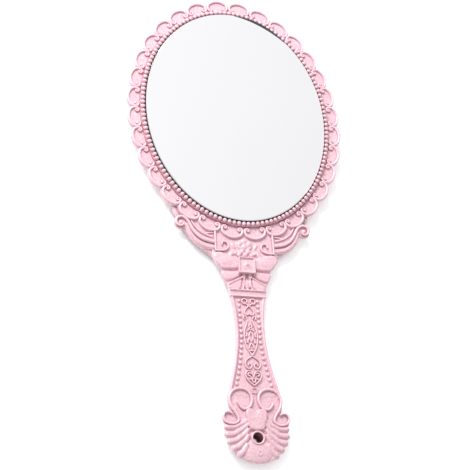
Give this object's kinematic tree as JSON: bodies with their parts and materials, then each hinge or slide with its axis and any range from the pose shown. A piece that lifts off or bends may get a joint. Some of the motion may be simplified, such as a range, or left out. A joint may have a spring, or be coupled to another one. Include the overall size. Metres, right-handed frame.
{
  "type": "hand mirror",
  "caption": "Hand mirror with an oval glass in a beaded, scalloped border and a flat ornamental handle with a hanging hole.",
  "frame": {"origin": "centre of the flat oval medallion on the back, which is the face that the mirror lies on; it is also the centre of the glass in plan", "axes": "+Z out of the glass, +Y from the handle towards the top of the head, +X to the right when looking into the glass"},
  "size_m": [0.1136, 0.2507, 0.0089],
  "materials": {
    "back_shell": "satin moulded, light pink",
    "front_shell": "satin moulded, light pink",
    "adhesive_tape": "closed-cell foam tape, dull white",
    "backing_paint": "dull grey protective paint",
    "silver_coat": "bright silvering",
    "mirror_glass": "polished float glass with a ground edge",
    "bead_ring": "satin moulded, light pink"
  },
  "bodies": {
    "root": {"back_shell": "back_shell", "front_shell": "front_shell", "adhesive_pads": "adhesive_tape", "backing_paint": "backing_paint", "silver_coat": "silver_coat", "mirror_glass": "mirror_glass", "bead_ring": "bead_ring"}
  },
  "joints": []
}
